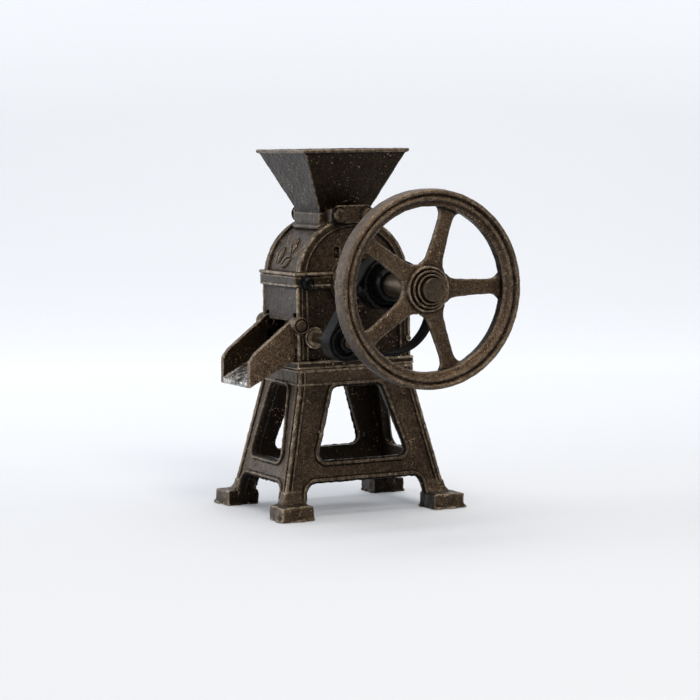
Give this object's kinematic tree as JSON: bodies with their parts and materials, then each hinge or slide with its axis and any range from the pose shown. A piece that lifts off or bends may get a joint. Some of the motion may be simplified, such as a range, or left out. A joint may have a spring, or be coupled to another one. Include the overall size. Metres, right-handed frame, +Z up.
{
  "type": "hand crank coffee grinder",
  "caption": "Cast table-top coffee mill: square hopper, arched housing, splayed stand with windows, tilting chute, spoked flywheel, belt-driven lower shaft and side crank.",
  "frame": {"origin": "middle of the mill's box on the surface it stands on; the stand and housing are centred on it", "axes": "+Z up, chute towards -Y, flywheel on +X, crank on -X; the main shaft lies along X"},
  "size_m": [0.42, 0.225, 0.36],
  "materials": {
    "casting": "dark bronzed iron, gritty, worn light on the edges",
    "black_iron": "black satin paint",
    "steel": "dark browned steel",
    "bronze": "tarnished bronze",
    "burr_iron": "bare ground iron",
    "belt": "matt black flat belt",
    "grip": "dark oiled hardwood"
  },
  "bodies": {
    "frame": {"stand": "casting", "stand_bolts": "steel", "housing_lower": "casting", "housing_upper": "casting", "rim_bolts": "black_iron", "bearing_bolts": "steel", "bearing_drive": "casting", "bearing_crank": "casting", "main_bushes": "bronze", "counter_bushes": "bronze", "hopper": "casting", "hopper_bolts": "steel", "chute_pins": "steel", "feed_barrel": "casting", "burr_fixed": "burr_iron", "burr_fixed_screws": "steel", "drive_belt": "belt"},
    "running_gear": {"main_shaft": "steel", "flywheel": "casting", "wheel_key": "steel", "hub_collar": "casting", "hub_nut": "steel", "thrust_collar": "steel", "main_pulley": "black_iron", "pulley_screw": "steel", "burr_carrier": "casting", "burr_moving": "burr_iron", "burr_moving_screws": "steel", "feed_auger": "casting", "crank_arm": "casting", "crank_nut": "steel", "crank_pin": "steel"},
    "grip": {"crank_grip": "grip"},
    "countershaft": {"counter_shaft": "steel", "small_pulley": "bronze", "sweeper": "casting"},
    "chute": {"chute": "casting"},
    "adjuster": {"adjust_ring": "casting"}
  },
  "joints": [
    {"name": "main_spin", "type": "hinge", "parent": "frame", "child": "running_gear", "pos_m": [0, 0, 0.229], "axis": [1, 0, 0], "continuous": true},
    {"name": "grip_spin", "type": "hinge", "parent": "running_gear", "child": "grip", "pos_m": [-0.15, 0.0995, 0.229], "axis": [1, 0, 0], "continuous": true},
    {"name": "counter_spin", "type": "hinge", "parent": "frame", "child": "countershaft", "pos_m": [0.05, -0.045, 0.175], "axis": [1, 0, 0], "continuous": true},
    {"name": "chute_tilt", "type": "hinge", "parent": "frame", "child": "chute", "pos_m": [0, -0.06, 0.1875], "axis": [-1, 0, 0], "range_deg": [0, 50]},
    {"name": "adjust_turn", "type": "hinge", "parent": "frame", "child": "adjuster", "pos_m": [-0.055, 0, 0.229], "axis": [1, 0, 0], "range_deg": [-90, 90]}
  ],
  "couplings": [
    {"joint": "counter_spin", "follows": "main_spin", "ratio": 1.6129}
  ]
}
